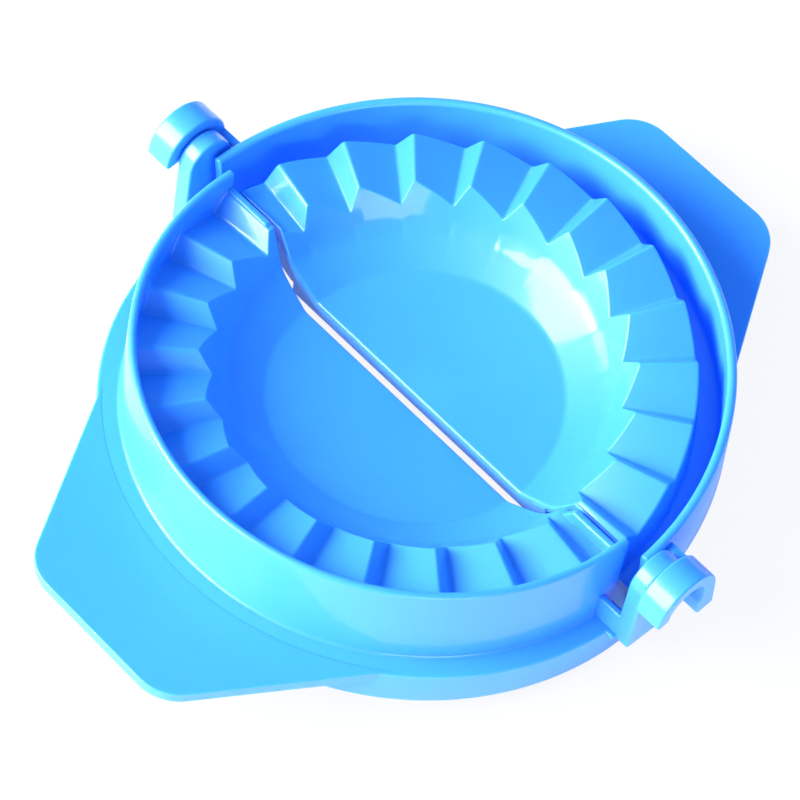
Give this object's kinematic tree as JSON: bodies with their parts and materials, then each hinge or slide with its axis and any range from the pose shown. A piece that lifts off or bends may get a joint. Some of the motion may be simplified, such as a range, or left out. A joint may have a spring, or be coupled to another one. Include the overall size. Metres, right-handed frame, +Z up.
{
  "type": "empanada press",
  "caption": "Hinged dumpling press opened out: two toothed half bowls with a cutting ring and a flat handle each fold shut to fold and crimp a filled dough round.",
  "frame": {"origin": "middle of the underside of the press as it stands open, on the surface it rests on", "axes": "+X along the hinge line, +Y across the hinge line towards the handle of the deep half, +Z up"},
  "size_m": [0.1096, 0.1252, 0.028],
  "materials": {
    "female_plastic": "glossy injection moulded polypropylene",
    "male_plastic": "glossy injection moulded polypropylene"
  },
  "bodies": {
    "female_half": {"female_bowl": "female_plastic", "female_split_flange": "female_plastic", "female_teeth": "female_plastic", "female_channel": "female_plastic", "female_outer_wall": "female_plastic", "female_cutter_ring": "female_plastic", "female_handle": "female_plastic", "female_hook_right": "female_plastic", "female_hook_left": "female_plastic", "female_arm_right": "female_plastic", "female_arm_left": "female_plastic"},
    "male_half": {"male_bowl": "male_plastic", "male_teeth": "male_plastic", "male_end_rib_right": "male_plastic", "male_end_rib_left": "male_plastic", "male_rim": "male_plastic", "male_ledge": "male_plastic", "male_cutter_ring": "male_plastic", "male_handle": "male_plastic", "male_ear_right": "male_plastic", "male_ear_left": "male_plastic", "male_gusset_right": "male_plastic", "male_gusset_left": "male_plastic", "male_pin_right": "male_plastic", "male_pin_left": "male_plastic"}
  },
  "joints": [
    {"name": "fold_hinge", "type": "hinge", "parent": "female_half", "child": "male_half", "pos_m": [0, 0.0014, 0.0189], "axis": [-1, 0, 0], "range_deg": [-8.4, 171.6]}
  ]
}
